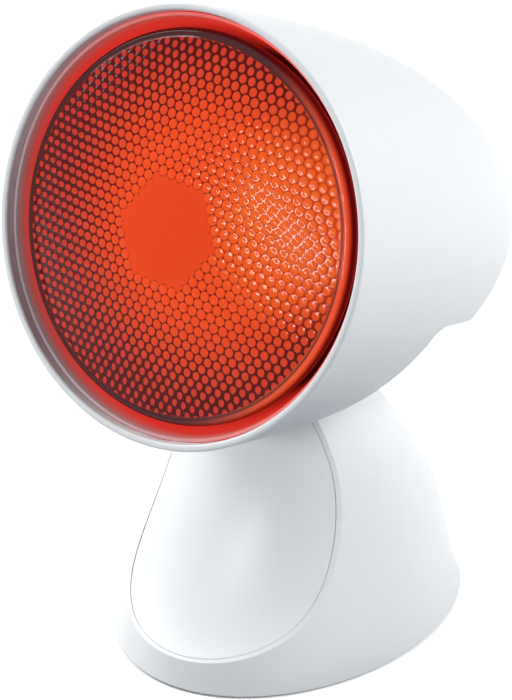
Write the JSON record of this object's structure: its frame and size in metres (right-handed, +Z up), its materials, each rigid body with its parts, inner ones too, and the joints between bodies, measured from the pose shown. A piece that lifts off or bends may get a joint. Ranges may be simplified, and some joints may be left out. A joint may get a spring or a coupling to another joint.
{
  "type": "infrared heat therapy lamp",
  "caption": "Table-top infrared heat lamp: a domed shade with a reflector bulb, tilting in notches on a bell-shaped foot with a scooped front cover.",
  "frame": {"origin": "on the table under the middle of the whole lamp's outline", "axes": "+Z up, the lamp looks along -Y and 17.7 degrees up, X runs across"},
  "size_m": [0.1358, 0.1794, 0.223],
  "materials": {
    "shell_white": "smooth glossy white moulding",
    "cover_white": "smooth glossy white moulding",
    "base_grey": "fine matt texture",
    "foot_rubber": "matt",
    "zinc_steel": "zinc plated",
    "grommet_white": "satin",
    "block_white": "satin",
    "switch_black": "satin",
    "contact_brass": "bright",
    "fibre": "matt fibre",
    "spring_steel": "bright strip",
    "wire_sleeve": "woven glass sleeve",
    "liner_aluminium": "satin spun",
    "lens_glass": "ruby glass, pressed, hexagonal pips inside",
    "reflector_glass": "aluminised inside",
    "cap_metal": "bright rolled",
    "cap_black": "glossy black glass",
    "stem_glass": "clear",
    "tungsten": "dull wire",
    "ceramic": "glazed steatite",
    "cast_aluminium": "as cast",
    "bronze": "sintered"
  },
  "bodies": {
    "foot": {"foot_shell": "shell_white", "front_cover": "cover_white", "base_plate": "base_grey", "rubber_feet": "foot_rubber", "base_screws": "zinc_steel", "cable_grommet": "grommet_white", "terminal_block": "block_white", "terminal_screws": "zinc_steel", "switch_housing": "switch_black", "switch_terminals": "contact_brass", "hinge_axle": "zinc_steel", "axle_clips": "zinc_steel", "friction_washers": "fibre", "detent_spring": "spring_steel", "foot_leads": "wire_sleeve", "switch_leads": "wire_sleeve"},
    "rocker": {"switch_rocker": "switch_black"},
    "head": {"head_shell": "shell_white", "lamp_liner": "liner_aluminium", "bulb_lens": "lens_glass", "bulb_reflector": "reflector_glass", "bulb_cap": "cap_metal", "cap_insulator": "cap_black", "cap_contact": "contact_brass", "glass_stem": "stem_glass", "filament_posts": "tungsten", "filament": "tungsten", "lampholder_body": "ceramic", "lampholder_sleeve": "contact_brass", "lampholder_contact": "contact_brass", "lampholder_terminals": "contact_brass", "lampholder_nipple": "zinc_steel", "nipple_nut": "zinc_steel", "head_bracket": "zinc_steel", "bracket_screws": "zinc_steel", "arm_screws": "zinc_steel", "hinge_arm": "cast_aluminium", "hub_bush": "bronze", "head_leads": "wire_sleeve"}
  },
  "joints": [
    {"name": "head_tilt", "type": "hinge", "parent": "foot", "child": "head", "pos_m": [0, -0.0078, 0.09], "axis": [1, 0, 0], "range_deg": [-20, 20], "deforming": ["detent_spring"]},
    {"name": "switch_rock", "type": "hinge", "parent": "foot", "child": "rocker", "pos_m": [0, 0.04406, 0.03311], "axis": [1, 0, 0], "range_deg": [0, 16]}
  ]
}
